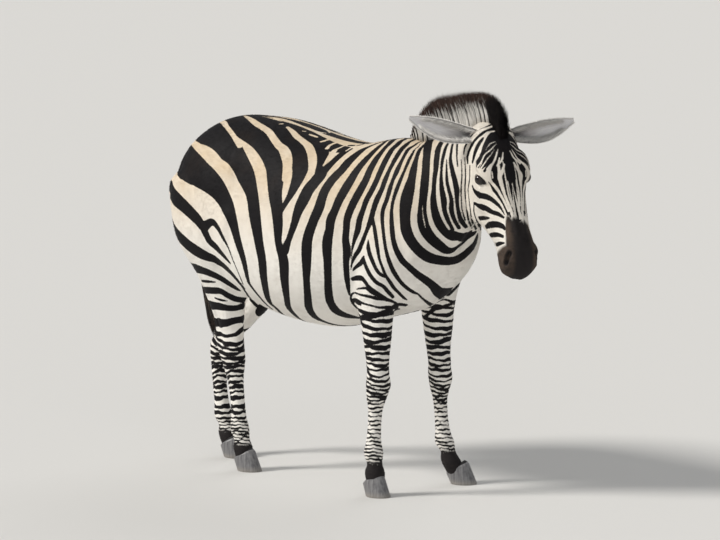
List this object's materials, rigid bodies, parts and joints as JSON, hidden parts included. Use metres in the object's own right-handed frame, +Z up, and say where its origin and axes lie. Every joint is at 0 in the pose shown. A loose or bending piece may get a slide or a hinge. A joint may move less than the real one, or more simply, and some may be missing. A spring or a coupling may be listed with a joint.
{
  "type": "zebra",
  "caption": "Standing plains zebra with its head lowered and turned to its right, ears out sideways, upright mane, tail hanging, hooves flat on the ground.",
  "frame": {"origin": "on the ground, under the middle of the animal's box", "axes": "+X from tail to chest, +Y to the animal's left, +Z up"},
  "size_m": [1.7876, 0.6194, 1.4505],
  "materials": {
    "coat": "short hair, black stripes on cream",
    "muzzle": "dark velvety skin",
    "ear": "soft pale hair",
    "eye": "wet gloss",
    "mane": "stiff upright hair",
    "tail_hair": "long hair",
    "hoof": "satin horn"
  },
  "bodies": {
    "root": {"trunk": "coat", "neck": "coat", "head": "coat", "muzzle": "muzzle", "ear_left": "ear", "ear_right": "ear", "eye_left": "eye", "eye_right": "eye", "mane": "mane", "tail_dock": "coat", "tail_tuft": "tail_hair", "leg_front_right_upper": "coat", "leg_front_right_lower": "coat", "hoof_front_right": "hoof", "leg_front_left_upper": "coat", "leg_front_left_lower": "coat", "hoof_front_left": "hoof", "leg_hind_right_upper": "coat", "leg_hind_right_lower": "coat", "hoof_hind_right": "hoof", "leg_hind_left_upper": "coat", "leg_hind_left_lower": "coat", "hoof_hind_left": "hoof"}
  },
  "joints": []
}
